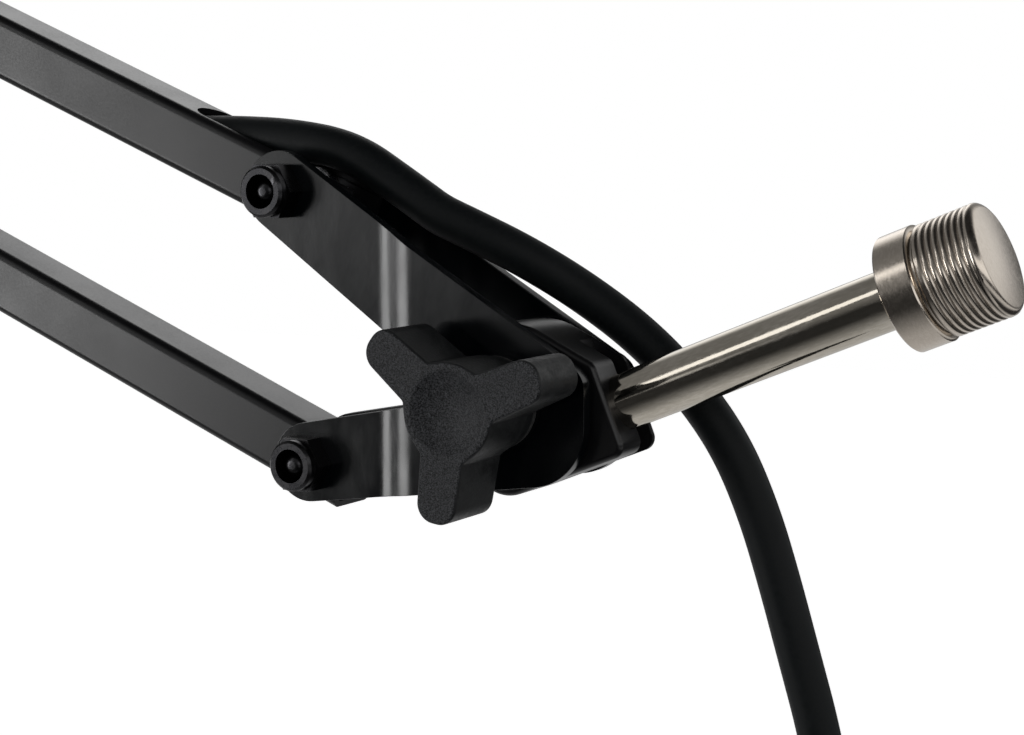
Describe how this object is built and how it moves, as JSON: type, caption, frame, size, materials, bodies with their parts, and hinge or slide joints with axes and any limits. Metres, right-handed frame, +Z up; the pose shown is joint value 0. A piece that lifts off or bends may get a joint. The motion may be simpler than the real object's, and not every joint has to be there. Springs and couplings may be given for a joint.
{
  "type": "microphone boom arm",
  "caption": "Desk-clamped folding microphone arm with paired square tubes, forked joint plates, a locking tilt head, a threaded nickel stud and a lead threaded through the upper tube.",
  "frame": {"origin": "on the desk top, the underside of the clamp's upper jaw pad, under the axis of the swivel post", "axes": "+Z up along the post; +X towards the microphone end in the rest pose; the arm's pivots run along Y, with the tilt knob on the -Y side"},
  "size_m": [0.5377, 0.0792, 0.6432],
  "materials": {
    "black_paint": "satin black powder coat",
    "plate_paint": "satin black powder coat on sheet steel",
    "black_steel": "black-oxide steel",
    "nickel": "bright nickel plate",
    "bright_steel": "zinc-plated steel",
    "brass": "plain brass",
    "knob_plastic": "fine-grained moulded plastic",
    "nylon": "plain nylon",
    "rubber": "matt rubber",
    "lead_rubber": "matt PVC sheath",
    "shell_metal": "black chrome",
    "spring_steel": "oiled spring steel"
  },
  "bodies": {
    "clamp": {"clamp_frame": "black_paint", "jaw_pad": "rubber", "socket_bush": "nylon"},
    "disc": {"clamp_disc": "black_paint", "disc_pad": "rubber"},
    "spindle": {"clamp_spindle": "bright_steel", "clamp_tbar": "bright_steel", "tbar_caps": "rubber"},
    "base": {"base_post": "bright_steel", "base_block": "black_paint", "base_plate_near": "plate_paint", "base_plate_far": "plate_paint", "base_pivot_bolts": "black_steel", "base_pivot_nuts": "black_steel", "base_sleeves": "bright_steel", "block_bolts": "black_steel", "block_nuts": "black_steel"},
    "lower_front": {"lower_front_tube": "black_paint", "lower_spring": "spring_steel"},
    "lower_rear": {"lower_rear_tube": "black_paint"},
    "elbow": {"elbow_plate_near": "plate_paint", "elbow_plate_far": "plate_paint", "elbow_pivot_bolts": "black_steel", "elbow_pivot_nuts": "black_steel", "elbow_sleeves": "bright_steel", "line_lead": "lead_rubber", "line_plug_boot": "rubber", "line_plug_shell": "shell_metal", "line_plug_pins": "brass"},
    "upper_top": {"upper_top_tube": "black_paint", "tube_lead": "lead_rubber"},
    "upper_bottom": {"upper_bottom_tube": "black_paint", "upper_spring": "spring_steel"},
    "head": {"head_plate_near": "plate_paint", "head_plate_far": "plate_paint", "head_pivot_bolts": "black_steel", "head_pivot_nuts": "black_steel", "head_sleeves": "bright_steel", "tilt_bolt": "black_steel", "knob_washer": "nylon", "mic_lead": "lead_rubber", "mic_socket_boot": "rubber", "mic_socket_shell": "shell_metal", "mic_socket_insert": "knob_plastic", "mic_socket_latch": "bright_steel"},
    "tilt": {"swivel_block": "black_paint", "tilt_washers": "nylon", "shaft_pin": "bright_steel", "mic_shaft": "nickel", "thread_stud": "nickel"},
    "knob": {"tilt_knob": "knob_plastic", "knob_insert": "brass"}
  },
  "joints": [
    {"name": "clamp_travel", "type": "slide", "parent": "clamp", "child": "disc", "axis": [0, 0, 1], "range_m": [-0.019, 0.022]},
    {"name": "clamp_turn", "type": "hinge", "parent": "disc", "child": "spindle", "pos_m": [0, 0, 0], "axis": [0, 0, 1], "range_deg": [-4570, 5290]},
    {"name": "base_swivel", "type": "hinge", "parent": "clamp", "child": "base", "pos_m": [0, 0, 0.04], "axis": [0, 0, 1], "continuous": true},
    {"name": "lower_arm", "type": "hinge", "parent": "base", "child": "lower_front", "pos_m": [0.021, 0, 0.084], "axis": [0, 1, 0], "range_deg": [-15, 50]},
    {"name": "lower_link", "type": "hinge", "parent": "base", "child": "lower_rear", "pos_m": [-0.021, 0, 0.084], "axis": [0, 1, 0], "range_deg": [-15, 50]},
    {"name": "elbow_level", "type": "hinge", "parent": "lower_front", "child": "elbow", "pos_m": [-0.07735, 0, 0.45105], "axis": [0, 1, 0], "range_deg": [-50, 15]},
    {"name": "upper_arm", "type": "hinge", "parent": "elbow", "child": "upper_top", "pos_m": [-0.0562, 0, 0.50855], "axis": [0, -1, 0], "range_deg": [-28, 60], "deforming": ["line_lead"]},
    {"name": "upper_link", "type": "hinge", "parent": "elbow", "child": "upper_bottom", "pos_m": [-0.05135, 0, 0.46705], "axis": [0, -1, 0], "range_deg": [-28, 60]},
    {"name": "head_level", "type": "hinge", "parent": "upper_top", "child": "head", "pos_m": [0.29711, 0, 0.36866], "axis": [0, -1, 0], "range_deg": [-60, 28], "deforming": ["mic_lead"]},
    {"name": "head_tilt", "type": "hinge", "parent": "head", "child": "tilt", "pos_m": [0.33636, 0, 0.33886], "axis": [0, -1, 0], "range_deg": [-85, 45]},
    {"name": "knob_turn", "type": "hinge", "parent": "head", "child": "knob", "pos_m": [0.33636, -0.016, 0.33886], "axis": [0, -1, 0], "range_deg": [0, 360]}
  ],
  "couplings": [
    {"joint": "clamp_turn", "follows": "clamp_travel", "rad_per_m": 4188.8},
    {"joint": "lower_link", "follows": "lower_arm", "ratio": 1},
    {"joint": "elbow_level", "follows": "lower_arm", "ratio": -1},
    {"joint": "upper_link", "follows": "upper_arm", "ratio": 1},
    {"joint": "head_level", "follows": "upper_arm", "ratio": -1}
  ]
}
